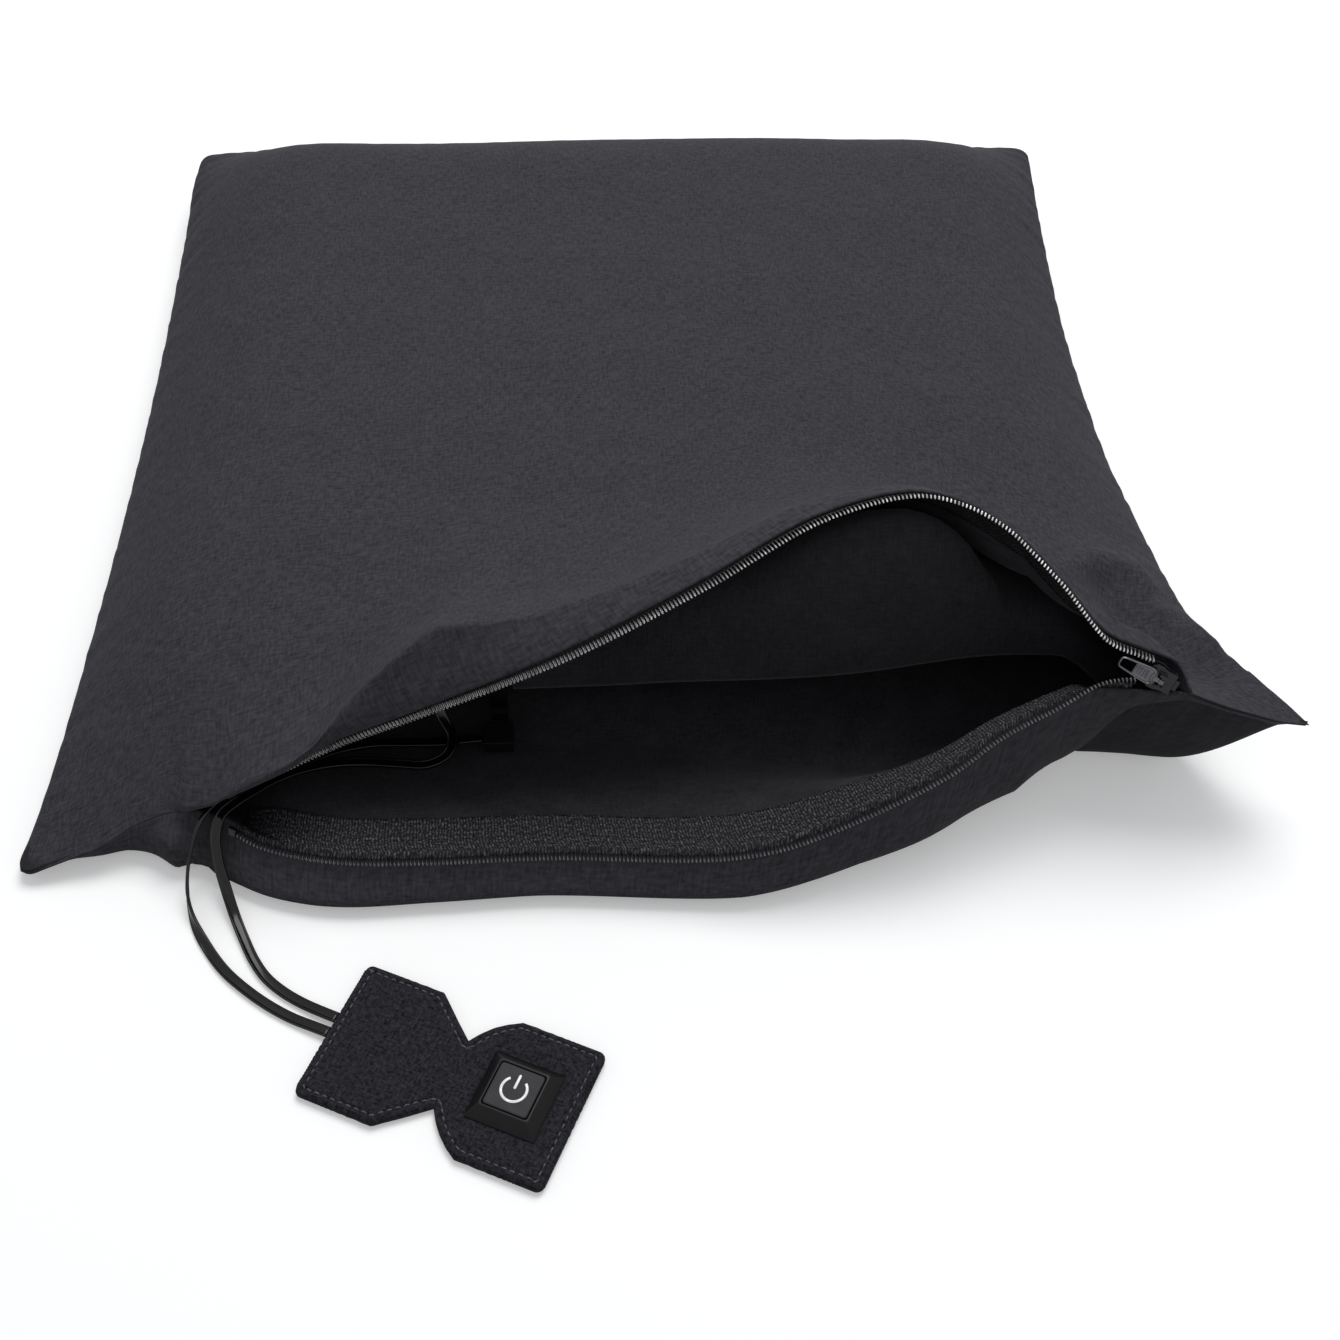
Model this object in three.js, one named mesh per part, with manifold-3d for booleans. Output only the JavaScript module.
// Heated seat cushion: a filled pillow cover lying flat with its front zip pulled open, a
// filling pad with a heating mat and a battery pack inside, and an hourglass cloth tab that
// carries the power button on two flat cables. Millimetres, +Z up, +Y to the back. The origin
// is on the floor under the middle of the cushion.
import * as THREE from 'three';
import { mergeVertices } from 'three/addons/utils/BufferGeometryUtils.js';
import Module from 'manifold-3d';

const wasm = await Module();
wasm.setup();

// Driving dimensions of the cover
const coverWidth = 440;
const coverDepth = 446;
const seamHeight = 20;
const crownHeight = 60;
const mouthHeight = 114;
const clothThickness = 1.4;
const topShoulder = 84;
const lipRise = 125;
const bottomShoulder = 34;
const frontRoll = 30;
const frontBulge = 29;
const fit = 0.3;

// Driving dimensions of the zip
const tapeWidth = 18;
const tapeThickness = 0.7;
const tapeOverhang = 1.2;
const coilWidth = 3.2;
const coilHeight = 2.2;
const sliderLength = 10;
const sliderNose = 9.4;
const sliderTail = 8;
const sliderSetback = 18.8;
const sliderPlate = 1.1;
const pullLength = 17;
const pullWidth = 6.6;
const pullTip = 4.4;
const pullThickness = 1.2;
const pinDiameter = 1.2;
const stopLength = 3;
const stopMargin = 0.4;

// Driving dimensions of the filling pad and what it holds
const padInset = 15;
const padFrontGap = 80;
const padFrontGapRight = 60;
const padNose = 46;
const padLift = 30;
const padLiftLeft = 15;
const padClearance = 3;
const padClearanceReach = 90;
const padClearanceStart = 30;
const padRimHeight = 4.2;
const matSideGap = 85;
const matFrontGap = 151;
const matBackGap = 95;
const matThickness = 0.8;
const matCorner = 12;
const wireDiameter = 1.6;
const wireRuns = 8;
const wireMargin = 20;
const leadWidth = 7;
const leadThickness = 1.4;
const connectorWidth = 12;
const connectorLength = 11;
const connectorHeight = 6;
const connectorX = -46;
const connectorGap = 51;
const sensorSize = 7;
const packX = -75;
const packFloor = 21;
const packGap = 95;
const packWidth = 66;
const packLength = 96;
const packHeight = 19;
const packWall = 1.6;
const packCorner = 5;
const sleeveThickness = 1.1;
const socketWidth = 13;
const socketHeight = 6.4;
const socketLength = 14;
const plugGrip = 9;
const plugNose = 10;

// Driving dimensions of the button tab
const tabX = -57;
const tabY = -310.5;
const tabTurn = -23.3;
const tabHalfLength = 48;
const tabHalfWidth = 28;
const waistHalfWidth = 13.8;
const chamferStart = 17;
const waistSwell = 15;
const leafThickness = 0.9;
const coreThickness = 2;
const stitchMargin = 3.4;
const clampLength = 13;
const clampWidth = 17;
const ribbonWidth = 6;
const ribbonThickness = 1.1;
const buttonX = 25;
const buttonSquare = 25.4;
const buttonTopSquare = 18.8;
const buttonHeight = 5.2;
const buttonCorner = 2.2;
const buttonTravel = 0.8;
const bezelWall = 1.5;
const skirtSquare = 22.4;
const capThickness = 1.8;
const symbolRadius = 4.6;
const symbolLine = 0.9;
const symbolSlot = 0.3;
const boardThickness = 0.8;
const switchSize = 6;
const screwRadius = 0.8;
const screwHead = 1.4;

// Driving dimensions of the cables
const cableWidth = 4.6;
const cableThickness = 1.4;
const cablePitch = 6.3;
const cableOffset = 2;
const cableStep = 6.8;

const finishes = {
  cloth: { color: 0x29292b, roughness: 0.93, metalness: 0 },
  lining: { color: 0x17171a, roughness: 0.9, metalness: 0 },
  tape: { color: 0x141416, roughness: 0.85, metalness: 0 },
  coil: { color: 0x101012, roughness: 0.35, metalness: 0 },
  slider: { color: 0x1b1b1e, roughness: 0.35, metalness: 0.6 },
  felt: { color: 0x3a3a3c, roughness: 0.95, metalness: 0 },
  wire: { color: 0x8c1d18, roughness: 0.5, metalness: 0 },
  casing: { color: 0x202124, roughness: 0.5, metalness: 0 },
  cell: { color: 0xb9bcc0, roughness: 0.4, metalness: 0.3 },
  board: { color: 0x1f5a35, roughness: 0.5, metalness: 0.1 },
  rubber: { color: 0x111113, roughness: 0.45, metalness: 0 },
  steel: { color: 0xb5b7ba, roughness: 0.35, metalness: 1 },
  cap: { color: 0x3b3b3f, roughness: 0.55, metalness: 0 },
  symbol: { color: 0xf4f4f4, roughness: 0.4, metalness: 0 },
};

const cushion = new THREE.Group();

function add(name, geometry, finish, parent = cushion) {
  const mesh = new THREE.Mesh(geometry, new THREE.MeshStandardMaterial(finishes[finish]));
  mesh.name = name;
  parent.add(mesh);
  return mesh;
}

// Solids and their joins and cuts
function toSolid(geometry) {
  const bare = geometry.clone();
  bare.deleteAttribute('normal');
  bare.deleteAttribute('uv');
  const merged = mergeVertices(bare, 1e-4);
  return new wasm.Manifold(new wasm.Mesh({
    numProp: 3,
    vertProperties: new Float32Array(merged.attributes.position.array),
    triVerts: new Uint32Array(merged.index.array),
  }));
}

function toGeometry(body) {
  const mesh = body.getMesh();
  const geometry = new THREE.BufferGeometry();
  geometry.setAttribute('position', new THREE.BufferAttribute(mesh.vertProperties, 3));
  geometry.setIndex(new THREE.BufferAttribute(mesh.triVerts, 1));
  geometry.computeVertexNormals();
  return geometry;
}

function cut(body, ...tools) {
  return toGeometry(tools.reduce((rest, tool) => rest.subtract(toSolid(tool)), toSolid(body)));
}

function join(body, ...others) {
  return toGeometry(others.reduce((sum, other) => sum.add(toSolid(other)), toSolid(body)));
}

// Shapes placed by their corners and centres
function block(x0, x1, y0, y1, z0, z1) {
  const shape = new THREE.BoxGeometry(x1 - x0, y1 - y0, z1 - z0);
  return shape.translate((x0 + x1) / 2, (y0 + y1) / 2, (z0 + z1) / 2);
}

function post(x, y, z0, z1, radius, sides = 12) {
  const shape = new THREE.CylinderGeometry(radius, radius, z1 - z0, sides);
  return shape.rotateX(Math.PI / 2).translate(x, y, (z0 + z1) / 2);
}

function plate(outline, z0, z1, holes = []) {
  const shape = new THREE.Shape(outline);
  shape.holes = holes.map((hole) => new THREE.Path(hole));
  const made = new THREE.ExtrudeGeometry(shape, { depth: z1 - z0, bevelEnabled: false, curveSegments: 12 });
  return made.translate(0, 0, z0);
}

// A closed skin between two grids of points, grid[column][row], outer above or outside inner
function shell(outer, inner) {
  const columns = outer.length;
  const rows = outer[0].length;
  const points = [...outer.flat(), ...inner.flat()];
  const out = (i, j) => i * rows + j;
  const back = (i, j) => columns * rows + i * rows + j;
  const faces = [];
  const quad = (a, b, c, d) => faces.push(a, b, c, a, c, d);
  for (let i = 0; i + 1 < columns; i += 1) {
    for (let j = 0; j + 1 < rows; j += 1) {
      quad(out(i, j), out(i, j + 1), out(i + 1, j + 1), out(i + 1, j));
      quad(back(i, j), back(i + 1, j), back(i + 1, j + 1), back(i, j + 1));
    }
    quad(out(i, 0), out(i + 1, 0), back(i + 1, 0), back(i, 0));
    quad(out(i + 1, rows - 1), out(i, rows - 1), back(i, rows - 1), back(i + 1, rows - 1));
  }
  for (let j = 0; j + 1 < rows; j += 1) {
    quad(out(0, j + 1), out(0, j), back(0, j), back(0, j + 1));
    quad(out(columns - 1, j), out(columns - 1, j + 1), back(columns - 1, j + 1), back(columns - 1, j));
  }
  return meshed(points, faces);
}

// A closed bar lofted through rings of points, with a flat cap on each end ring
function bar(rings) {
  const sides = rings[0].length;
  const faces = [];
  for (let i = 0; i + 1 < rings.length; i += 1) {
    for (let k = 0; k < sides; k += 1) {
      const next = (k + 1) % sides;
      const a = i * sides + k;
      const b = i * sides + next;
      faces.push(a, b, b + sides, a, b + sides, a + sides);
    }
  }
  const last = (rings.length - 1) * sides;
  for (let k = 1; k + 1 < sides; k += 1) {
    faces.push(0, k + 1, k);
    faces.push(last, last + k, last + k + 1);
  }
  return meshed(rings.flat(), faces);
}

function meshed(points, faces) {
  const geometry = new THREE.BufferGeometry();
  geometry.setAttribute('position', new THREE.Float32BufferAttribute(points.flatMap((p) => p.toArray()), 3));
  geometry.setIndex(faces);
  if (volume(points, faces) < 0) {
    geometry.setIndex(faces.map((_, i) => faces[i - (i % 3) + (2 - (i % 3))]));
  }
  geometry.computeVertexNormals();
  return geometry;
}

function volume(points, faces) {
  const across = new THREE.Vector3();
  let sum = 0;
  for (let i = 0; i < faces.length; i += 3) {
    across.crossVectors(points[faces[i]], points[faces[i + 1]]);
    sum += across.dot(points[faces[i + 2]]);
  }
  return sum;
}

// Seam and lip lines, as shares of the cover's width, its depth and a height
function line(shares, height) {
  const points = shares.map(([x, y, z]) => new THREE.Vector3(x * coverWidth, y * coverDepth, z * height));
  return new THREE.CatmullRomCurve3(points, false, 'centripetal');
}

const backSeamShares = [
  [-0.498, 0.474, 1.1], [-0.485, 0.486, 1.1], [-0.25, 0.488, 1.05], [0, 0.488, 1.05],
  [0.25, 0.488, 1.05], [0.485, 0.487, 1.1], [0.5, 0.475, 1.15],
];
const leftSeamShares = [
  [-0.498, 0.474, 1.1], [-0.501, 0.426, 1.1], [-0.497, 0.34, 1], [-0.488, 0.1, 1], [-0.486, -0.09, 1],
  [-0.491, -0.266, 0.85], [-0.501, -0.408, 0.6], [-0.51, -0.484, 0.35], [-0.52, -0.512, 0.2],
];
const rightSeamShares = [
  [0.5, 0.475, 1.15], [0.498, 0.424, 1.15], [0.495, 0.355, 1.1], [0.493, 0.218, 1], [0.493, 0.139, 1],
  [0.498, 0.035, 1], [0.505, -0.061, 1.05], [0.513, -0.13, 1.2], [0.519, -0.205, 1.5],
  [0.524, -0.275, 1.9], [0.532, -0.33, 2.25], [0.552, -0.375, 2.5], [0.58, -0.41, 2.5],
  [0.602, -0.432, 2.3],
];
const closedLeftShares = [
  [-0.52, -0.512, 0.2], [-0.482, -0.498, 0.4], [-0.446, -0.494, 0.6], [-0.418, -0.48, 0.85],
  [-0.389, -0.474, 1.1], [-0.364, -0.474, 1.25],
];
const closedRightShares = [
  [0.49, -0.4332, 0.5816], [0.52, -0.437, 0.5351], [0.545, -0.4385, 0.5], [0.572, -0.438, 0.4561],
  [0.602, -0.432, 0.4035],
];
const upperLipShares = [
  [-0.364, -0.474, 0.2193], [-0.336, -0.463, 0.275], [-0.302, -0.455, 0.325], [-0.245, -0.442, 0.405],
  [-0.16, -0.433, 0.545], [-0.041, -0.408, 0.71], [0.075, -0.365, 0.86], [0.177, -0.315, 0.965],
  [0.255, -0.298, 1], [0.295, -0.306, 0.99], [0.336, -0.327, 0.945], [0.377, -0.36, 0.85],
  [0.418, -0.394, 0.722], [0.4455, -0.4025, 0.6851], [0.4625, -0.406, 0.663], [0.4795, -0.4138, 0.6491],
  [0.49, -0.4332, 0.5816],
];
const lowerLipShares = [
  [-0.364, -0.474, 0.2193], [-0.336, -0.4785, 0.19], [-0.298, -0.498, 0.17], [-0.235, -0.5132, 0.17],
  [-0.16, -0.515, 0.17], [-0.05, -0.5115, 0.172], [0.066, -0.517, 0.18], [0.11, -0.5182, 0.2025],
  [0.15, -0.515, 0.237], [0.214, -0.4996, 0.316], [0.284, -0.475, 0.41], [0.33, -0.4484, 0.475],
  [0.375, -0.4294, 0.518], [0.41, -0.4193, 0.5395], [0.4455, -0.422, 0.5439], [0.4625, -0.4249, 0.5482],
  [0.49, -0.4332, 0.5816],
];

const backSeam = line(backSeamShares, seamHeight);
const leftSeam = line(leftSeamShares, seamHeight);
const rightSeam = line(rightSeamShares, seamHeight);
const closedLeft = line(closedLeftShares, seamHeight);
const closedRight = line(closedRightShares, mouthHeight);
const upperLip = line(upperLipShares, mouthHeight);
const lowerLip = line(lowerLipShares, mouthHeight);

// Shares across the front where the closed seam gives way to the open lips
const lipStartShare = 0.14;
const lipEndShare = 0.88;

function front(lip, s) {
  if (s <= lipStartShare) return closedLeft.getPointAt(s / lipStartShare);
  if (s >= lipEndShare) return closedRight.getPointAt((s - lipEndShare) / (1 - lipEndShare));
  return lip.getPointAt((s - lipStartShare) / (lipEndShare - lipStartShare));
}

// A cover panel stretched over its four edge lines; s runs left to right, t back to front
function plan(lip, s, t) {
  const b = backSeam.getPointAt(s);
  const f = front(lip, s);
  const l = leftSeam.getPointAt(t);
  const r = rightSeam.getPointAt(t);
  const corner = (a, c, d, e) => (1 - s) * (1 - t) * a + s * (1 - t) * c + (1 - s) * t * d + s * t * e;
  const blend = (k) => {
    const corners = corner(backSeam.points[0][k], backSeam.points.at(-1)[k],
      leftSeam.points.at(-1)[k], rightSeam.points.at(-1)[k]);
    return (1 - t) * b[k] + t * f[k] + (1 - s) * l[k] + s * r[k] - corners;
  };
  return { x: blend('x'), y: blend('y'), b, f, l, r };
}

const near = (distance, reach, power) => Math.max(0, 1 - distance / reach) ** power;

// The height over the plateau that the four edges give, faded out over their reaches
function edged(spot, s, t, level, reach, frontReach, power, frontPower) {
  const fromLeft = near(s * coverWidth, reach, power);
  const fromRight = near((1 - s) * coverWidth, reach, power);
  const fromBack = near(t * coverDepth, reach, power);
  const fromFront = near((1 - t) * coverDepth, frontReach, frontPower);
  const rise = (p) => p.z - level;
  const corners = fromBack * (fromLeft * rise(backSeam.points[0]) + fromRight * rise(backSeam.points.at(-1)))
    + fromFront * (fromLeft * rise(leftSeam.points.at(-1)) + fromRight * rise(rightSeam.points.at(-1)));
  return level + fromLeft * rise(spot.l) + fromRight * rise(spot.r)
    + fromBack * rise(spot.b) + fromFront * rise(spot.f) - corners;
}

const shoulderPower = 2.5;
const lipPower = 2.1;

function topPoint(s, t) {
  const spot = plan(upperLip, s, t);
  const z = edged(spot, s, t, crownHeight, topShoulder, lipRise, shoulderPower, lipPower);
  return new THREE.Vector3(spot.x, spot.y, z);
}

// The bottom panel before its front swells out
function bottomPlain(s, t) {
  const spot = plan(lowerLip, s, t);
  const z = edged(spot, s, t, 0, bottomShoulder, frontRoll, shoulderPower, shoulderPower);
  return new THREE.Vector3(spot.x, spot.y, z);
}

// Shares across the front and shares of the bulge that the bottom panel has there
const bulgeShares = [
  [0, 0], [0.08, 0.35], [0.11, 0.6], [0.14, 0.84], [0.17, 1], [0.24, 1], [0.32, 0.93], [0.4, 0.86],
  [0.55, 0.86], [0.64, 0.75], [0.72, 0.81], [0.78, 0.8], [0.825, 0.28], [0.85, 0.12], [0.9, 0.05], [1, 0],
];

function between(table, at) {
  const next = Math.max(1, table.findIndex(([key]) => key >= at));
  const [fromKey, fromValue] = table[next - 1];
  const [toKey, toValue] = table[next];
  return fromValue + (toValue - fromValue) * (at - fromKey) / (toKey - fromKey);
}

function bottomPoint(s, t) {
  const roll = Math.min(1, (1 - t) * coverDepth / frontRoll);
  const swell = frontBulge * Math.sin(Math.PI * roll) * between(bulgeShares, s);
  return bottomPlain(s, t).sub(new THREE.Vector3(0, swell, 0));
}

const stepShare = 0.004;

function normalAt(pointAt, s, t) {
  const s0 = Math.max(0, s - stepShare);
  const s1 = Math.min(1, s + stepShare);
  const t0 = Math.max(0, t - stepShare);
  const t1 = Math.min(1, t + stepShare);
  const across = pointAt(s1, t).sub(pointAt(s0, t));
  const along = pointAt(s, t1).sub(pointAt(s, t0));
  return along.cross(across).normalize();
}

// The way from a seam point to the inside of the cover, level with the floor
function inward(s, t) {
  const s1 = THREE.MathUtils.clamp(s, 2 * stepShare, 1 - 2 * stepShare);
  const t1 = THREE.MathUtils.clamp(t, 2 * stepShare, 1 - 2 * stepShare);
  const way = topPoint(s1, t1).sub(topPoint(s, t));
  return way.setZ(0).normalize();
}

const onLip = (s) => s > lipStartShare + 1e-6 && s < lipEndShare - 1e-6;
const onSeam = (s, t) => s === 0 || s === 1 || t === 0 || (t === 1 && !onLip(s));

// The top panel's layers: each point at a depth under its outer face
function topLayer(s, t, depth) {
  const point = topPoint(s, t);
  if (onSeam(s, t)) return point.addScaledVector(inward(s, t), depth).setZ(point.z + fit / 2);
  return point.addScaledVector(normalAt(topPoint, s, t), -depth);
}

// The lining of the bottom panel lies on a flat shelf behind the lip and then falls to the floor
const shelfFlat = 16;
const shelfReach = 80;
const shelfSteepShare = 0.55;
const shelfSteepShares = [0.5, 0.8];
const mouthEaseShare = 0.08;

function bottomInner(s, t, depth) {
  const point = bottomPlain(s, t);
  if (onSeam(s, t)) return point.addScaledVector(inward(s, t), depth).setZ(point.z - fit / 2);
  const lip = front(lowerLip, s);
  const flat = shelfFlat * (1 - shelfSteepShare * THREE.MathUtils.smoothstep(s, ...shelfSteepShares));
  const away = (1 - t) * coverDepth;
  const fall = 1 - THREE.MathUtils.smoothstep(away, flat, shelfReach);
  const lined = point.addScaledVector(normalAt(bottomPlain, s, t), depth);
  if (t === 1) return lip.clone().add(new THREE.Vector3(0, depth, 0));
  const opened = THREE.MathUtils.smoothstep(s, lipStartShare, lipStartShare + mouthEaseShare);
  const mouth = opened * THREE.MathUtils.smoothstep(1 - s, 1 - lipEndShare, 1 - lipEndShare + mouthEaseShare);
  const shelf = lip.z * fall * mouth;
  return lined.setZ(Math.max(lined.z, shelf, depth));
}

const bottomOuter = (s, t) => {
  const point = bottomPoint(s, t);
  return onSeam(s, t) ? point.setZ(point.z - fit / 2) : point;
};

function grid(columns, rows, pointAt) {
  return columns.map((s) => rows.map((t) => pointAt(s, t)));
}

function steps(count, from, to) {
  return Array.from({ length: count + 1 }, (_, i) => from + (to - from) * i / count);
}

// Columns close up by the side seams, rows close up by the back seam and the lips
const sideShares = [0, 0.016, 0.045, 0.09];
const slotGap = sliderLength / 2 + sliderSetback + 2 * fit;
const slotShare = lipStartShare + (lipEndShare - lipStartShare) * (1 - slotGap / upperLip.getLength());
const tailGap = sliderSetback - sliderLength / 2 - stopLength;
const tailShare = lipStartShare + (lipEndShare - lipStartShare) * (1 - tailGap / upperLip.getLength());
const besideShare = (slotShare + tailShare) / 2;
const lipColumns = [...steps(19, lipStartShare, slotShare), besideShare, tailShare, lipEndShare];
const toothColumns = lipColumns.slice(1, -3);
const rightShares = [0.91, 0.945, 0.978, 1];
const columns = [...sideShares, ...lipColumns, ...rightShares];
const rowShares = [0, 0.014, 0.04, 0.076, 0.14, 0.24, 0.38, 0.52, 0.64, 0.74, 0.82, 0.88, 0.93, 0.945];
const rows = [...rowShares, 1 - tapeWidth / coverDepth, 1 - tapeWidth / coverDepth / 2, 1];

function buildCover() {
  const topOuter = grid(columns, rows, (s, t) => topLayer(s, t, 0));
  const topInner = grid(columns, rows, (s, t) => topLayer(s, t, clothThickness));
  add('cover_top_panel', shell(topOuter, topInner), 'cloth');
  const outer = grid(columns, rows, bottomOuter);
  const inner = grid(columns, rows, (s, t) => bottomInner(s, t, clothThickness));
  add('cover_bottom_panel', shell(inner, outer), 'cloth');
}

// A tape strip under or over a panel's lip, its free edge standing past the lip
const lipRows = rows.slice(-3);

function tapeGrid(layer, reach, wayAt) {
  return toothColumns.map((s) => {
    const points = lipRows.map((t) => layer(s, t));
    const way = wayAt(s, points.at(-1).clone().sub(points.at(-2)).normalize());
    return [...points, points.at(-1).clone().addScaledVector(way, reach)];
  });
}

// The lower tape's free edge looks to the front and turns up to meet the slider
const turnUpShares = [0.77, 0.845];

function lowerWay(s) {
  const turn = Math.PI / 2 * THREE.MathUtils.smoothstep(s, ...turnUpShares);
  return new THREE.Vector3(0, -Math.cos(turn), Math.sin(turn));
}

const upperLayer = (depth) => (s, t) => topLayer(s, t, clothThickness + fit + depth);
const lowerLayer = (height) => (s, t) => bottomInner(s, t, clothThickness)
  .add(new THREE.Vector3(0, 0, fit + height));

// The coil runs along the tape's free edge: one flattened ring at each column
function coilRings(over, under) {
  return over.map((edge, i) => {
    const tip = edge.at(-1).clone().add(under[i].at(-1)).multiplyScalar(0.5);
    const way = edge.at(-1).clone().sub(edge.at(-2)).normalize();
    const side = edge.at(-1).clone().sub(under[i].at(-1)).normalize();
    const centre = tip.addScaledVector(way, fit + coilWidth / 2);
    return ringAt(centre, way, side, coilWidth / 2, coilHeight / 2, 6);
  });
}

function ringAt(centre, along, across, halfAlong, halfAcross, sides) {
  return Array.from({ length: sides }, (_, k) => {
    const turn = 2 * Math.PI * k / sides;
    return centre.clone().addScaledVector(along, halfAlong * Math.cos(turn))
      .addScaledVector(across, halfAcross * Math.sin(turn));
  });
}

const middle = (ring) => ring.reduce((sum, p) => sum.add(p), new THREE.Vector3()).divideScalar(ring.length);

// A top stop is a clip a little wider than the coil, just past the coil's left end
function topStop(rings) {
  const centre = middle(rings[0]);
  const way = centre.clone().sub(middle(rings[1])).normalize();
  const along = rings[0][0].clone().sub(centre).normalize();
  const across = way.clone().cross(along).normalize();
  const ring = (distance) => ringAt(centre.clone().addScaledVector(way, distance), along, across,
    coilWidth / 2 + stopMargin, coilHeight / 2 + stopMargin, 8);
  return bar([ring(fit), ring(fit + stopLength)]);
}

function buildZip() {
  const onwards = (s, way) => way;
  const upperOver = tapeGrid(upperLayer(0), tapeOverhang, onwards);
  const upperUnder = tapeGrid(upperLayer(tapeThickness), tapeOverhang, onwards);
  const lowerReach = clothThickness + tapeOverhang;
  const lowerOver = tapeGrid(lowerLayer(tapeThickness), lowerReach, lowerWay);
  const lowerUnder = tapeGrid(lowerLayer(0), lowerReach, lowerWay);
  const upperRings = coilRings(upperOver, upperUnder);
  const lowerRings = coilRings(lowerOver, lowerUnder);
  add('zip_tape_upper', shell(upperOver, upperUnder), 'tape');
  add('zip_tape_lower', shell(lowerOver, lowerUnder), 'tape');
  add('zip_coil_upper', bar(upperRings), 'coil');
  add('zip_coil_lower', bar(lowerRings), 'coil');
  add('zip_top_stop_upper', topStop(upperRings), 'coil');
  add('zip_top_stop_lower', topStop(lowerRings), 'coil');
  buildSlider(middle(upperRings.at(-1)), middle(lowerRings.at(-1)));
}

// The slider stands across the chains' ends: its x runs to the closed end, y to the upper chain
function sliderFrame(upperEnd, lowerEnd) {
  const entry = upperEnd.clone().add(lowerEnd).multiplyScalar(0.5);
  const along = closedRight.points[0].clone().sub(entry).normalize();
  const across = upperEnd.clone().sub(lowerEnd);
  across.addScaledVector(along, -across.dot(along)).normalize();
  const outward = along.clone().cross(across);
  const frame = new THREE.Group();
  frame.setRotationFromMatrix(new THREE.Matrix4().makeBasis(along, across, outward));
  frame.position.copy(entry).addScaledVector(along, sliderLength / 2 + 2 * fit + coilWidth / 4);
  cushion.add(frame);
  return frame;
}

// Shares of the slider's length, its nose, its plate, its pin and its pull
const shoulderShare = 0.2;
const noseCornerShare = 0.15;
const flangeStartShare = 0.1;
const dividerShares = [[-0.34, 0], [-0.2, -0.1], [-0.1, 0], [-0.2, 0.1]];
const earPlateShare = 0.7;
const earRoofShare = 0.9;
const earReachShare = 1.3;
const eyeWallShare = 0.6;
const neckShare = 2.2;
const neckEndShare = 1.2;
const pullShoulderShare = 0.4;
const recessStartShare = 0.34;
const recessEndShare = 0.86;
const recessWidthShare = 0.3;
const recessDepthShare = 0.25;

function sliderOutline() {
  const back = sliderLength / 2;
  const shoulder = back * shoulderShare;
  const corner = sliderNose * noseCornerShare;
  const nose = sliderNose / 2;
  const tail = sliderTail / 2;
  return [
    [-back, corner - nose], [corner - back, -nose], [-shoulder, -nose], [shoulder, -tail], [back, -tail],
    [back, tail], [shoulder, tail], [-shoulder, nose], [corner - back, nose], [-back, nose - corner],
  ].map(([x, y]) => new THREE.Vector2(x, y));
}

// A block between two depths and between two heights that may be given in either order
function sideBlock(x0, x1, y0, y1, z0, z1) {
  return block(x0, x1, Math.min(y0, y1), Math.max(y0, y1), Math.min(z0, z1), Math.max(z0, z1));
}

function buildSlider(upperEnd, lowerEnd) {
  const frame = sliderFrame(upperEnd, lowerEnd);
  const channel = coilHeight / 2 + fit;
  const tail = sliderTail / 2;
  const flange = tail - coilWidth - fit;
  const slit = tapeThickness;
  const bite = sliderPlate / 2;
  const earInside = pullTip / 2 - flange;
  const earOutside = earInside + sliderPlate * earPlateShare;
  const eyeRadius = pinDiameter / 2 + fit + pullThickness * eyeWallShare;
  const pinHeight = channel + sliderPlate + eyeRadius + fit;
  const earHeight = pinHeight + pinDiameter * earRoofShare;
  const earReach = pinDiameter * earReachShare;
  const plates = [
    plate(sliderOutline(), -channel - sliderPlate, -channel),
    plate(sliderOutline(), channel, channel + sliderPlate),
  ];
  const wedge = dividerShares.map(([x, y]) => new THREE.Vector2(x * sliderLength, y * sliderLength));
  const divider = plate(wedge, -channel - bite, channel + bite);
  const flanges = [-1, 1].flatMap((side) => [-1, 1].map((face) => sideBlock(
    sliderLength * flangeStartShare, sliderLength / 2, side * tail, side * (tail - flange),
    face * (channel + bite), face * slit,
  )));
  const ears = [-1, 1].map((side) => sideBlock(
    -earReach, earReach, side * earInside, side * earOutside, channel + bite, earHeight,
  ));
  const pin = crossPost(earOutside, pinDiameter / 2, pinHeight);
  add('zip_slider_body', join(plates[0], plates[1], divider, ...flanges, ...ears, pin), 'slider', frame);
  const closedHalf = coilWidth - fit;
  const closed = block(0, sliderLength / 2, -closedHalf, closedHalf, -coilHeight / 2, coilHeight / 2);
  add('zip_coil_closed', closed, 'coil', frame);
  const stopHalf = coilWidth / 2 + stopMargin;
  const stopFrom = sliderLength / 2 + fit;
  add('zip_bottom_stop', block(stopFrom, stopFrom + stopLength / 2, -stopHalf, stopHalf,
    -coilHeight / 2 - stopMargin, coilHeight / 2 + stopMargin), 'coil', frame);
  buildPull(frame, pinHeight, earInside - fit, eyeRadius);
}

// A round bar across the slider at a height
function crossPost(half, radius, height, sides = 16) {
  return post(0, 0, -half, half, radius, sides).rotateX(Math.PI / 2).translate(0, 0, height);
}

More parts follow.
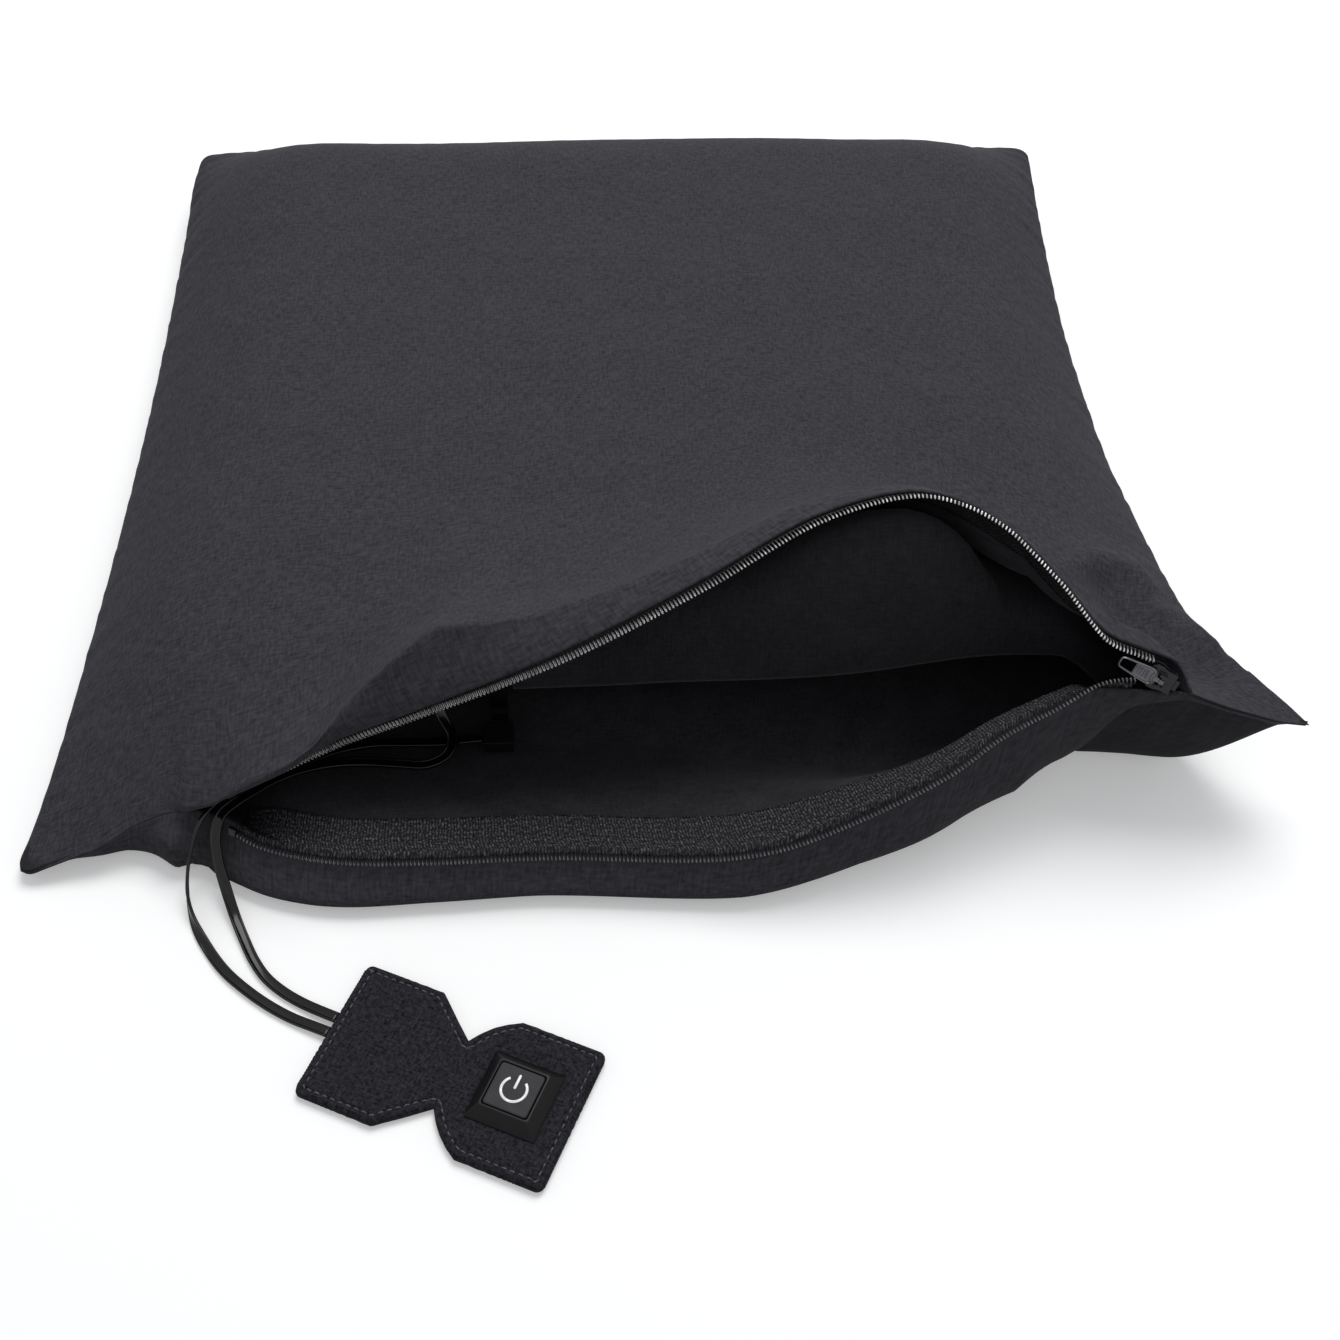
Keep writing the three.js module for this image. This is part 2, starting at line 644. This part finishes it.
// The pull hangs on the slider's pin by an eye and lies along the slider, its tip to the left
function buildPull(frame, pinHeight, eyeHalf, eyeRadius) {
  const neck = pinDiameter * neckShare;
  const half = pullWidth / 2;
  const tip = pullTip / 2;
  const shoulder = pullLength * pullShoulderShare;
  const side = [
    [-neck / 2, eyeHalf], [-neck, eyeHalf], [-neck * neckEndShare, half], [-shoulder, half],
    [-pullLength, tip],
  ];
  const outline = [...side.map(([x, y]) => [x, -y]), ...side.reverse()];
  const blade = plate(outline.map(([x, y]) => new THREE.Vector2(x, y)),
    pinHeight - pullThickness / 2, pinHeight + pullThickness / 2);
  const eye = crossPost(eyeHalf, eyeRadius, pinHeight);
  const bore = crossPost(pullWidth, pinDiameter / 2 + fit, pinHeight);
  const recessHalf = pullTip * recessWidthShare;
  const recess = block(-pullLength * recessEndShare, -pullLength * recessStartShare, -recessHalf, recessHalf,
    pinHeight + pullThickness * recessDepthShare, pinHeight + pullThickness);
  add('zip_pull_tab', cut(join(blade, eye), bore, recess), 'slider', frame);
}

// The place on a panel's patch over or under a point of the floor, found by walking until it fits
const walkSteps = 14;
const walkStartShare = 0.5;

function patchPlace(lip, x, y) {
  let s = walkStartShare;
  let t = walkStartShare;
  for (let i = 0; i < walkSteps; i += 1) {
    const spot = plan(lip, s, t);
    s = THREE.MathUtils.clamp(s + (x - spot.x) / coverWidth, 0, 1);
    t = THREE.MathUtils.clamp(t + (spot.y - y) / coverDepth, 0, 1);
  }
  return [s, t];
}

// Heights inside the cover: the top panel's inner face and the bottom panel's lining
const steepestShare = 0.5;

function underTop(x, y) {
  const place = patchPlace(upperLip, x, y);
  return topPoint(...place).z - clothThickness / Math.max(steepestShare, normalAt(topPoint, ...place).z);
}

const liningHeight = (x, y) => bottomInner(...patchPlace(lowerLip, x, y), clothThickness).z;

// The filling pad, its front edge rounded and standing clear of the bottom panel
const layersOverPad = 4 * fit + wireDiameter + matThickness;
const padSideShares = [0, 0.04, 0.09, 0.16];
const padEnd = padInset / coverWidth;
const padColumns = [...padSideShares, ...steps(9, 0.22, 0.78), 0.84, 0.91, 0.96, 1]
  .map((share) => padEnd + (1 - 2 * padEnd) * share);
const padRows = [0, 0.03, 0.08, 0.16, 0.3, 0.46, 0.6, 0.72, 0.82, 0.9, 0.955, 0.985, 1];
const noseCurve = 0.5;
const padGapShares = [0.5, 0.85];
const padRiseShares = [0.3, 0.75];
const padLiftShares = [0.5, 0.95];
const padBulgeShares = [0.87, 0.96];

function padPlace(s, share) {
  const right = THREE.MathUtils.smoothstep(s, ...padGapShares);
  const gap = padFrontGap + (padFrontGapRight - padFrontGap) * right;
  const first = padInset / coverDepth;
  const t = first + (1 - gap / coverDepth - first) * share;
  const spot = plan(lowerLip, s, t);
  const rise = padLiftLeft + (padLift - padLiftLeft) * THREE.MathUtils.smoothstep(s, ...padRiseShares);
  const lift = rise * THREE.MathUtils.smoothstep(share, ...padLiftShares);
  const nearest = Math.min(s * coverWidth, (1 - s) * coverWidth, t * coverDepth);
  const ease = padClearance * (1 - THREE.MathUtils.smoothstep(nearest, padClearanceStart, padClearanceReach));
  const low = bottomInner(s, t, clothThickness).z + fit + ease + lift;
  const bulge = rise * THREE.MathUtils.smoothstep(share, ...padBulgeShares);
  const ceiling = Math.min(underTop(spot.x, spot.y), crownHeight - clothThickness + bulge);
  const roof = ceiling - layersOverPad - ease;
  const fromFront = Math.min(1, (1 - share) * (coverDepth - gap - padInset) / padNose);
  const round = (1 - (1 - fromFront) ** 2) ** noseCurve;
  const rim = low + padRimHeight;
  return { x: spot.x, y: spot.y, low, high: rim + (roof - rim) * round };
}

function padGrids() {
  const places = padColumns.map((s) => padRows.map((share) => padPlace(s, share)));
  const level = (key) => places.map((column) => column.map((p) => new THREE.Vector3(p.x, p.y, p[key])));
  return { over: level('high'), under: level('low') };
}

const plateau = crownHeight - clothThickness - layersOverPad;
const packFront = coverDepth / 2 - packGap;
const packTop = packFloor + packHeight;
const sleeveHalf = packWidth / 2 + fit + sleeveThickness;

function buildPad() {
  const { over, under } = padGrids();
  const pocket = block(packX - sleeveHalf - fit, packX + sleeveHalf + fit, -coverDepth / 2,
    packLength - packFront + 2 * fit + sleeveThickness, packFloor - 2 * fit - sleeveThickness,
    packTop + 2 * fit + sleeveThickness);
  add('filling_pad', cut(shell(over, under), pocket), 'lining');
  buildMat();
  buildLead();
}

function roundedSquare(x0, x1, y0, y1, radius, arcSteps = 3) {
  const corners = [[x1 - radius, y1 - radius, 0], [x0 + radius, y1 - radius, 1],
    [x0 + radius, y0 + radius, 2], [x1 - radius, y0 + radius, 3]];
  return corners.flatMap(([x, y, quarter]) => steps(arcSteps, quarter, quarter + 1).map((turns) => {
    const turn = turns * Math.PI / 2;
    return new THREE.Vector2(x + radius * Math.cos(turn), y + radius * Math.sin(turn));
  }));
}

// The heating mat on the pad's flat top, its wire laid to and fro with both ends at the front
const matWidth = coverWidth - 2 * matSideGap;
const matDepth = coverDepth - matFrontGap - matBackGap;
const matFront = coverDepth / 2 - matFrontGap;
const matTop = plateau + fit + matThickness;
const wireLevel = matTop + fit + wireDiameter / 2;

function wireRoute() {
  const half = matWidth / 2 - wireMargin;
  const pitch = 2 * half / (wireRuns - 1);
  const low = -matFront + wireMargin + pitch / 2;
  const high = matDepth - matFront - wireMargin - pitch / 2;
  const front = -matFront + wireMargin / 2;
  const points = [[connectorX - leadWidth / 4 - wireDiameter, front], [-half, front]];
  for (let run = 0; run < wireRuns; run += 1) {
    const x = -half + run * pitch;
    const up = run % 2 === 0;
    points.push([x, up ? low : high]);
    if (run === wireRuns - 1) break;
    const turnAt = up ? high : low;
    steps(5, 0, Math.PI).forEach((turn) => points.push([x + pitch / 2 - pitch / 2 * Math.cos(turn),
      turnAt + (up ? 1 : -1) * pitch / 2 * Math.sin(turn)]));
  }
  points.push([half, low], [half, front], [connectorX + leadWidth / 4 + wireDiameter, front]);
  return points.map(([x, y]) => new THREE.Vector3(x, y, wireLevel));
}

// A level round tube through a route of points, mitred where it turns
function levelTube(points, radius, sides) {
  const up = new THREE.Vector3(0, 0, 1);
  return bar(points.map((point, i) => {
    const before = points[Math.max(0, i - 1)];
    const after = points[Math.min(points.length - 1, i + 1)];
    const out = after.clone().sub(point).normalize();
    const come = point.clone().sub(before).normalize();
    const way = out.clone().add(come).normalize();
    const side = way.clone().cross(up).normalize();
    return ringAt(point, side, up, radius / Math.max(way.dot(out), way.dot(come)), radius, sides);
  }));
}

function buildMat() {
  const outline = roundedSquare(-matWidth / 2, matWidth / 2, -matFront, matDepth - matFront, matCorner);
  add('heating_mat', plate(outline, plateau + fit, matTop), 'felt');
  const route = wireRoute().filter((p, i, all) => i === 0 || p.distanceTo(all[i - 1]) > fit);
  add('heating_wire', levelTube(route, wireDiameter / 2, 6), 'wire');
  const pitch = (matWidth - 2 * wireMargin) / (wireRuns - 1);
  const middleY = matDepth / 2 - matFront;
  add('temperature_sensor', block(-pitch / 4 - sensorSize / 2, -pitch / 4 + sensorSize / 2,
    middleY - sensorSize, middleY + sensorSize, matTop + fit, matTop + fit + wireDiameter), 'casing');
}

// The flat lead from the mat's front edge over the pad's nose and down to the connector
const connectorFront = coverDepth / 2 - connectorGap;
const leadStartShare = 0.68;

function connectorLevel() {
  const ahead = connectorFront + connectorHeight;
  return liningHeight(connectorX, -ahead) + 2 * fit + connectorHeight / 2;
}

function buildLead() {
  const s = patchPlace(lowerLip, connectorX + leadWidth / 2, -matFront)[0];
  const places = padRows.filter((share) => share > leadStartShare).map((share) => padPlace(s, share));
  const spots = places.map((p) => new THREE.Vector3(connectorX, p.y, p.high));
  const rise = leadThickness / 2 + 2 * fit;
  const level = connectorLevel();
  const backFace = connectorLength - connectorFront + fit;
  const route = spots.map((spot, i) => {
    const way = spots[Math.min(i + 1, spots.length - 1)].clone().sub(spots[Math.max(i - 1, 0)]).normalize();
    return spot.clone().add(new THREE.Vector3(0, way.z * rise, -way.y * rise));
  });
  const tip = route.at(-1);
  tip.y -= rise;
  route[0].setY(-matFront - 2 * fit);
  route.push(new THREE.Vector3(connectorX, tip.y, (tip.z + level) / 2));
  route.push(new THREE.Vector3(connectorX, backFace + 2 * leadThickness, level));
  route.push(new THREE.Vector3(connectorX, backFace, level));
  const across = new THREE.Vector3(1, 0, 0);
  const rings = route.map((point, i) => {
    const ahead = route[Math.min(route.length - 1, i + 1)];
    const way = ahead.clone().sub(route[Math.max(0, i - 1)]).normalize();
    const up = across.clone().cross(way).normalize();
    return flatRing(point, across, up, leadWidth / 2, leadThickness / 2);
  });
  add('heater_lead', bar(rings), 'rubber');
  add('heater_connector', block(connectorX - connectorWidth / 2, connectorX + connectorWidth / 2,
    -connectorFront, connectorLength - connectorFront, level - connectorHeight / 2,
    level + connectorHeight / 2), 'casing');
}

function flatRing(centre, across, up, halfWide, halfThick) {
  return [[-1, -1], [1, -1], [1, 1], [-1, 1]].map(([a, b]) => centre.clone()
    .addScaledVector(across, a * halfWide).addScaledVector(up, b * halfThick));
}

// The battery pack in its sleeve, its socket facing the mouth
function buildPack() {
  const back = packLength - packFront;
  const front = -packFront;
  const left = packX - packWidth / 2;
  const right = packX + packWidth / 2;
  const sleeveOut = block(left - fit - sleeveThickness, right + fit + sleeveThickness, front,
    back + fit + sleeveThickness, packFloor - fit - sleeveThickness, packTop + fit + sleeveThickness);
  const sleeveIn = block(left - fit, right + fit, front - sleeveThickness, back + fit,
    packFloor - fit, packTop + fit);
  add('battery_sleeve', cut(sleeveOut, sleeveIn), 'cloth');
  const split = packFloor + packHeight / 2;
  const outer = (z0, z1) => plate(roundedSquare(left, right, front, back, packCorner), z0, z1);
  const inner = (z0, z1) => plate(roundedSquare(left + packWall, right - packWall, front + packWall,
    back - packWall, packCorner - packWall), z0, z1);
  const hole = block(packX - socketWidth / 2 - fit, packX + socketWidth / 2 + fit, front - packWall,
    front + 2 * packWall, split - socketHeight / 2 - fit, split + socketHeight / 2 + fit);
  const lower = cut(outer(packFloor, split - fit / 2), inner(packFloor + packWall, split), hole);
  const upper = cut(outer(split + fit / 2, packTop), inner(split, packTop - packWall), hole);
  add('battery_case_lower', lower, 'casing');
  add('battery_case_upper', upper, 'casing');
  const cellBack = back - packWall - fit;
  const boardLength = socketLength + packWall * 2;
  const cellFront = front + packWall + fit + boardLength + fit;
  const cellFloor = packFloor + packWall + fit;
  const cellTop = packTop - packWall - fit;
  add('battery_cell_left', plate(roundedSquare(left + packWall + fit, packX - fit, cellFront, cellBack,
    packCorner / 2), cellFloor, cellTop), 'cell');
  add('battery_cell_right', plate(roundedSquare(packX + fit, right - packWall - fit, cellFront, cellBack,
    packCorner / 2), cellFloor, cellTop), 'cell');
  const boardTop = split - socketHeight / 2 - fit;
  const boardFront = front + packWall + fit;
  add('battery_board', block(left + packCorner, right - packCorner, boardFront, boardFront + boardLength,
    cellFloor, boardTop), 'board');
  buildSocket(front, split);
}

function buildSocket(front, level) {
  const half = socketWidth / 2;
  const tall = socketHeight / 2;
  const wall = packWall / 2;
  const body = block(packX - half, packX + half, front + fit, front + fit + socketLength,
    level - tall, level + tall);
  const bore = block(packX - half + wall, packX + half - wall, front, front + socketLength - wall,
    level - tall + wall, level + tall - wall);
  add('battery_socket', cut(body, bore), 'steel');
  const grip = block(packX - half - wall, packX + half + wall, front - fit - plugGrip, front - fit,
    level - tall - wall, level + tall + wall);
  const nose = block(packX - half + wall + fit, packX + half - wall - fit, front - 2 * fit, front + plugNose,
    level - tall + wall + fit, level + tall - wall - fit);
  add('battery_plug', join(grip, nose), 'rubber');
}

// Cable routes, from the tab into the mouth; the points were chosen by hand
const heaterRoute = [
  [-102.1, -293.3, 2.2], [-108, -290.7, 1.9], [-116, -287, 1.3], [-125, -281.8, 1.2], [-134, -275.3, 1.2],
  [-143.5, -266.8, 1.2], [-152, -255.8, 1.4], [-158, -245.5, 2.6], [-160.6, -236.5, 6.4],
  [-160.4, -229, 12.5], [-158.6, -222.5, 18.8], [-156.2, -217, 23.5], [-153.2, -212, 25.4],
  [-149, -206, 24.9], [-143, -199, 21.6], [-134.5, -190.5, 17.2], [-124, -180.5, 12.8], [-111, -171.5, 9.4],
  [-97, -167, 7.8], [-82, -166.5, 7.4], [-69, -167, 8.2], [-60, -167, 9.6], [-52.4, -166.7, 10.4],
];
const packRoute = [
  [-99.7, -287.5, 2.2], [-105.5, -284.8, 1.9], [-113, -280.9, 1.3], [-120.5, -276.2, 1.2],
  [-127.5, -270.2, 1.2], [-133, -262.8, 1.2], [-138, -253.5, 1.4], [-142.4, -244.3, 3],
  [-146.2, -235, 8], [-149, -227, 15], [-149.6, -220, 22], [-147.8, -213.5, 25.1], [-143.6, -208, 24.9],
  [-137.5, -200.5, 22.4], [-130.5, -192.5, 19.2], [-121, -185, 15.4], [-109.5, -180, 12.2],
  [-97, -178.3, 10.4], [-85, -179, 10], [-73.5, -179.5, 10.2], [-66, -174.5, 10.8], [-65, -167, 13.2],
  [-68.8, -160.8, 17.5], [-73.5, -153.5, 25.6], [-75, -145.5, 29.8], [-75, -137.6, 30.5],
];

const sectionShares = [
  [-1, -0.8], [-0.6, -1], [0.6, -1], [1, -0.8], [1, 0.8], [0.6, 1], [-0.6, 1], [-1, 0.8],
];

function flatCable(name, route) {
  const corner = ([x, y]) => new THREE.Vector2(x * cableThickness / 2, y * cableWidth / 2);
  const section = new THREE.Shape(sectionShares.map(corner));
  const path = new THREE.CatmullRomCurve3(route.map((p) => new THREE.Vector3(...p)), false, 'centripetal');
  const count = Math.round(path.getLength() / cableStep);
  add(name, new THREE.ExtrudeGeometry(section, { steps: count, extrudePath: path }), 'rubber');
}

// The tab: two sewn cloth leaves over a stiff core, in two halves that fold at the waist.
// Its own x runs from the cables to the button, side is -1 for the cable half and 1 for the other
const cornerRadius = 4;
const cornerSteps = 3;
const waistShares = [[0, 0], [0.2, 0.31], [0.43, 0.58], [0.7, 0.81], [1, 1]];

function waistLine(side, margin) {
  const half = tabHalfWidth - margin;
  const waist = waistHalfWidth - margin;
  if (side < 0) return [[0, waist], [-chamferStart, half]];
  return waistShares.map(([x, y]) => [waistSwell * x, waist + (half - waist) * y]);
}

function tabOutline(side, margin, split) {
  const end = side * (tabHalfLength - margin);
  const half = tabHalfWidth - margin;
  const round = Math.max(fit, cornerRadius - margin);
  const corner = steps(cornerSteps, 0, Math.PI / 2).map((turn) => [
    end - side * round * (1 - Math.sin(turn)), half - round * (1 - Math.cos(turn))]);
  const upper = [...waistLine(side, margin).map(([x, y]) => [x + side * split, y]), ...corner];
  const lower = upper.map(([x, y]) => [x, -y]).reverse();
  return [...upper, ...lower].map(([x, y]) => new THREE.Vector2(x, y));
}

const coreFloor = leafThickness + fit;
const coreTop = coreFloor + coreThickness;
const leafFloor = coreTop + fit;
const leafTop = leafFloor + leafThickness;
const capWallShare = 0.65;
const capHalf = buttonTopSquare / 2 - bezelWall * capWallShare;
const leafHoleHalf = skirtSquare / 2 - fit;
const cableMiddle = cablePitch / 2 - cableOffset;

function square(half, x = buttonX, y = 0) {
  return [[-1, -1], [1, -1], [1, 1], [-1, 1]].map(([a, b]) => new THREE.Vector2(x + a * half, y + b * half));
}

// A top leaf has a rim that closes down round the core; it stays open at the fold
function topLeaf(side) {
  const skin = plate(tabOutline(side, 0, fit / 2), coreFloor, leafTop);
  const room = plate(tabOutline(side, stitchMargin / 2, fit / 2), 0, leafFloor);
  const fold = block(Math.min(0, side * stitchMargin), Math.max(0, side * stitchMargin),
    stitchMargin / 2 - waistHalfWidth, waistHalfWidth - stitchMargin / 2, 0, leafFloor);
  return cut(skin, room, fold);
}

function buildCableHalf(tab) {
  const slot = block(-tabHalfLength - fit, fit - tabHalfLength + stitchMargin,
    cableMiddle - clampWidth / 2 - fit, cableMiddle + clampWidth / 2 + fit, 0, leafFloor);
  add('tab_cable_top_leaf', cut(topLeaf(-1), slot), 'cloth', tab);
  add('tab_cable_bottom_leaf', plate(tabOutline(-1, 0, fit / 2), 0, leafThickness), 'cloth', tab);
  const clampFrom = fit - tabHalfLength;
  add('tab_cable_clamp', block(clampFrom, clampFrom + clampLength, cableMiddle - clampWidth / 2,
    cableMiddle + clampWidth / 2, coreFloor, coreTop), 'casing', tab);
  const clampRoom = block(-tabHalfLength, clampFrom + clampLength + fit, cableMiddle - clampWidth / 2 - fit,
    cableMiddle + clampWidth / 2 + fit, 0, leafTop);
  const ribbonRoom = block(-tabHalfLength, tabHalfLength, -ribbonWidth / 2 - fit, ribbonWidth / 2 + fit, 0,
    coreFloor + ribbonThickness + fit);
  const core = plate(tabOutline(-1, stitchMargin, 0), coreFloor, coreTop);
  add('tab_cable_stiffener', cut(core, clampRoom, ribbonRoom), 'felt', tab);
  const ribbon = block(clampFrom + clampLength + fit, -fit / 2, -ribbonWidth / 2, ribbonWidth / 2,
    coreFloor, coreFloor + ribbonThickness);
  add('tab_ribbon_cable_side', ribbon, 'rubber', tab);
  return ribbonRoom;
}

function buildButtonHalf(tab, ribbonRoom) {
  const hole = plate(square(leafHoleHalf), 0, leafTop + fit);
  add('tab_button_top_leaf', cut(topLeaf(1), hole), 'cloth', tab);
  add('tab_button_bottom_leaf', plate(tabOutline(1, 0, fit / 2), 0, leafThickness), 'cloth', tab);
  const plateHalf = buttonSquare / 2 + fit * 3;
  const plateRoom = plate(square(plateHalf + fit), 0, leafTop);
  const core = plate(tabOutline(1, stitchMargin, 0), coreFloor, coreTop);
  add('tab_button_stiffener', cut(core, plateRoom, ribbonRoom), 'felt', tab);
  const boardHalf = leafHoleHalf - 2 * bossRadius - 2 * fit;
  const tailTo = buttonX - boardHalf + fit * 4;
  const tail = block(tailTo - ribbonThickness, tailTo, -ribbonWidth / 2, ribbonWidth / 2, coreFloor, coreTop);
  const strip = block(fit / 2, tailTo, -ribbonWidth / 2, ribbonWidth / 2, coreFloor,
    coreFloor + ribbonThickness);
  add('tab_ribbon_button_side', join(strip, tail), 'rubber', tab);
  const notch = block(0, tailTo + fit, -ribbonWidth / 2 - fit, ribbonWidth / 2 + fit, 0, leafTop);
  const base = plate(square(plateHalf), coreFloor, coreTop);
  const headRooms = bossPlaces().map(([x, y]) => post(x, y, 0, coreFloor + screwHead / 2 + fit,
    screwHead + fit));
  const shankRooms = bossPlaces().map(([x, y]) => post(x, y, 0, leafTop, screwRadius + fit));
  add('button_base_plate', cut(base, notch, ...headRooms, ...shankRooms), 'casing', tab);
  buildButton(tab, boardHalf);
}

// The bevelled square button: a bezel screwed up from the base plate, a cap that travels in it
const bossRadius = screwRadius + 3 * fit;
const bossReach = leafHoleHalf - bossRadius - fit / 2;
const bezelFloor = leafTop + fit;
const bezelTop = leafTop + buttonHeight;
const capTop = bezelTop + fit;
const capFloor = capTop - capThickness;
const guideThickness = capThickness / 3;
const guideFloor = capFloor - fit - guideThickness;
const bossTop = guideFloor - buttonTravel - fit;
const webShare = 1.6;

function bossPlaces() {
  return [[-1, -1], [1, -1], [1, 1], [-1, 1]].map(([a, b]) => [buttonX + a * bossReach, b * bossReach]);
}

function frustum(lowHalf, highHalf, z0, z1, low = 0, high = 0) {
  const ring = (half, round, z) => roundedSquare(buttonX - half, buttonX + half, -half, half, round, 2)
    .map((p) => new THREE.Vector3(p.x, p.y, z));
  return bar([ring(lowHalf, low, z0), ring(highHalf, high, z1)]);
}

function buildButton(tab, boardHalf) {
  const outer = frustum(buttonSquare / 2, buttonTopSquare / 2, bezelFloor, bezelTop,
    buttonCorner, buttonCorner);
  const room = frustum(buttonSquare / 2 - bezelWall, capHalf + fit, bezelFloor - fit,
    bezelTop - bezelWall / 2, buttonCorner / 2, buttonCorner / 2);
  const mouth = frustum(capHalf + fit, capHalf + fit, bezelFloor, bezelTop + fit,
    buttonCorner / 2, buttonCorner / 2);
  const bosses = bossPlaces().map(([x, y]) => post(x, y, leafFloor, bossTop, bossRadius));
  const webs = bossPlaces().map(([x, y]) => {
    const to = x + Math.sign(x - buttonX) * bossRadius * webShare;
    return block(Math.min(x, to), Math.max(x, to), y - bossRadius / 2, y + bossRadius / 2,
      bezelFloor, bossTop);
  });
  const bores = bossPlaces().map(([x, y]) => post(x, y, 0, bossTop - fit, screwRadius + fit));
  const shellPart = cut(outer, room, mouth);
  add('button_bezel', cut(join(shellPart, ...bosses, ...webs), ...bores), 'casing', tab);
  buildCap(tab);
  add('button_board', plate(square(boardHalf), leafFloor, leafFloor + boardThickness), 'board', tab);
  buildSwitch(tab, leafFloor + boardThickness + fit);
  bossPlaces().forEach(([x, y], i) => {
    const head = post(x, y, coreFloor, coreFloor + screwHead / 2, screwHead, 12);
    const shank = post(x, y, coreFloor, bossTop - 2 * fit, screwRadius, 12);
    add(`button_screw_${i + 1}`, join(head, shank), 'steel', tab);
  });
}

// The power symbol is a generic ring and bar, let into the cap as ribs of the light guide
const symbolGap = Math.PI / 4.5;
const symbolBarShares = [0.1, 1.2];
const guideDiscShare = 1.5;

function ringOutline(radius, half) {
  const turns = steps(16, Math.PI / 2 + symbolGap, 2.5 * Math.PI - symbolGap);
  const at = (r) => (turn) => new THREE.Vector2(buttonX + r * Math.cos(turn), r * Math.sin(turn));
  return [...turns.map(at(radius + half)), ...turns.reverse().map(at(radius - half))];
}

function buildCap(tab) {
  const half = symbolLine / 2;
  const wide = half + symbolSlot;
  const [barFrom, barTo] = symbolBarShares.map((share) => symbolRadius * share);
  const body = frustum(capHalf, capHalf, capFloor, capTop, buttonCorner / 2, buttonCorner / 2);
  const ringSlot = plate(ringOutline(symbolRadius, wide), capFloor - fit, capTop + fit);
  const barSlot = block(buttonX - wide, buttonX + wide, barFrom - symbolSlot, barTo + symbolSlot,
    capFloor - fit, capTop + fit);
  add('button_cap', cut(body, ringSlot, barSlot), 'cap', tab);
  const disc = post(buttonX, 0, guideFloor, guideFloor + guideThickness, symbolRadius * guideDiscShare, 24);
  const ringRib = plate(ringOutline(symbolRadius, half), guideFloor + guideThickness / 2, capTop);
  const barRib = block(buttonX - half, buttonX + half, barFrom, barTo,
    guideFloor + guideThickness / 2, capTop);
  add('button_light_guide', join(disc, ringRib, barRib), 'symbol', tab);
}

function buildSwitch(tab, floor) {
  const half = switchSize / 2;
  const plungerRadius = switchSize / 4;
  const plungerTop = guideFloor - fit;
  const bodyTop = plungerTop - buttonTravel - fit;
  const body = block(buttonX - half, buttonX + half, -half, half, floor, bodyTop);
  const well = post(buttonX, 0, floor - fit, bodyTop + fit, plungerRadius + fit);
  add('tact_switch', cut(body, well), 'casing', tab);
  add('switch_plunger', post(buttonX, 0, floor + buttonTravel, plungerTop, plungerRadius), 'steel', tab);
  const ledHalf = boardThickness;
  const ledY = half + fit + ledHalf;
  add('indicator_led', block(buttonX - ledHalf, buttonX + ledHalf, ledY - ledHalf, ledY + ledHalf, floor,
    floor + boardThickness), 'symbol', tab);
}

function buildTab() {
  const tab = new THREE.Group();
  tab.position.set(tabX, tabY, 0);
  tab.rotation.z = THREE.MathUtils.degToRad(tabTurn);
  cushion.add(tab);
  const ribbonRoom = buildCableHalf(tab);
  buildButtonHalf(tab, ribbonRoom);
}

buildCover();
buildZip();
buildPad();
buildPack();
flatCable('cable_heater', heaterRoute);
flatCable('cable_battery', packRoute);
buildTab();

export default cushion;
